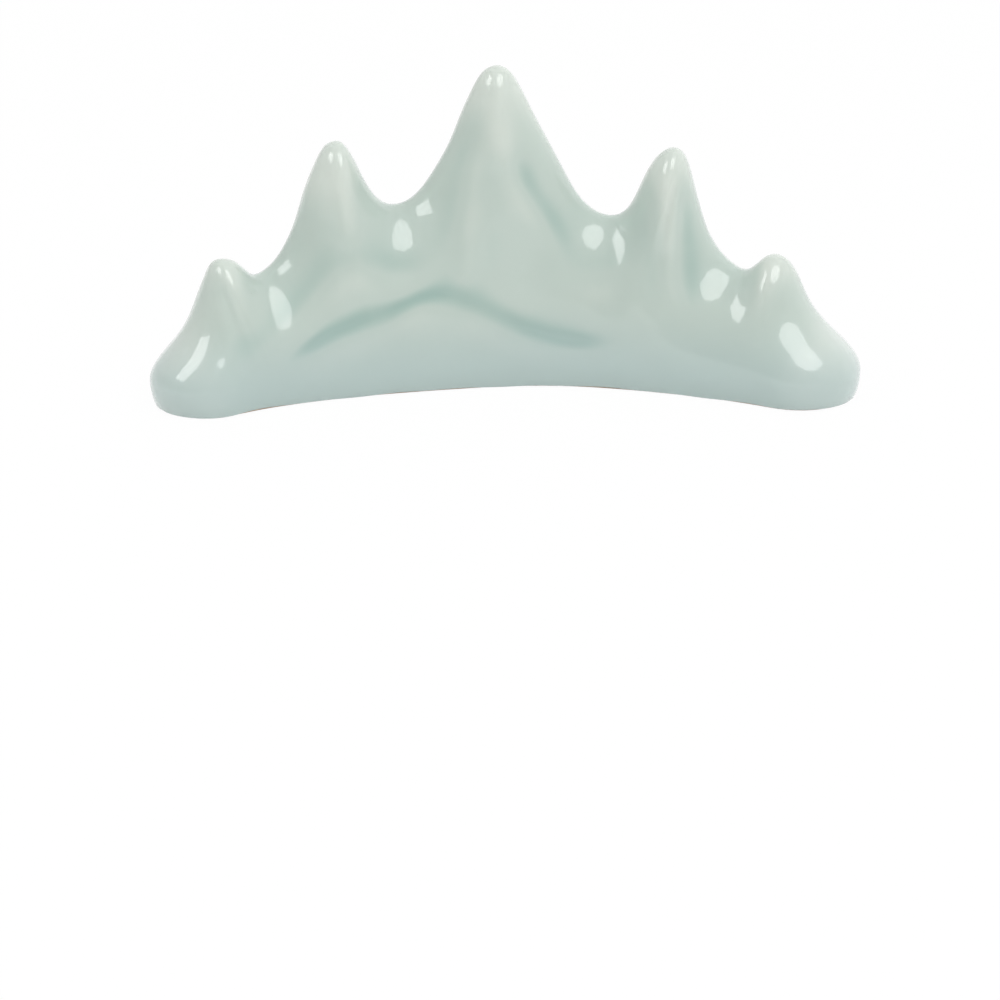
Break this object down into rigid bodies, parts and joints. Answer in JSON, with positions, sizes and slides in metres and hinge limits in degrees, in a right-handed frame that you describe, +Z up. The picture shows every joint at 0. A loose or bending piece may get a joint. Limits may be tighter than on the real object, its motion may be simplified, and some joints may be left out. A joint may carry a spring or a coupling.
{
  "type": "brush rest",
  "caption": "Low crescent-shaped glazed ceramic brush rest in the form of a mountain range, with dips between the peaks that hold brush handles.",
  "frame": {"origin": "middle of the footprint's box, on the surface that the rest stands on", "axes": "+X along the range of peaks, to the right seen from the front; +Y to the back, away from the two ends; +Z up"},
  "size_m": [0.1199, 0.0336, 0.0539],
  "materials": {
    "bare_porcelain": "matt, unglazed fired body",
    "slab_porcelain": "matt, unglazed fired body",
    "celadon_glaze": "glossy pale blue-green glaze"
  },
  "bodies": {
    "root": {"porcelain_shell": "bare_porcelain", "base_slab": "slab_porcelain", "celadon_glaze": "celadon_glaze"}
  },
  "joints": []
}
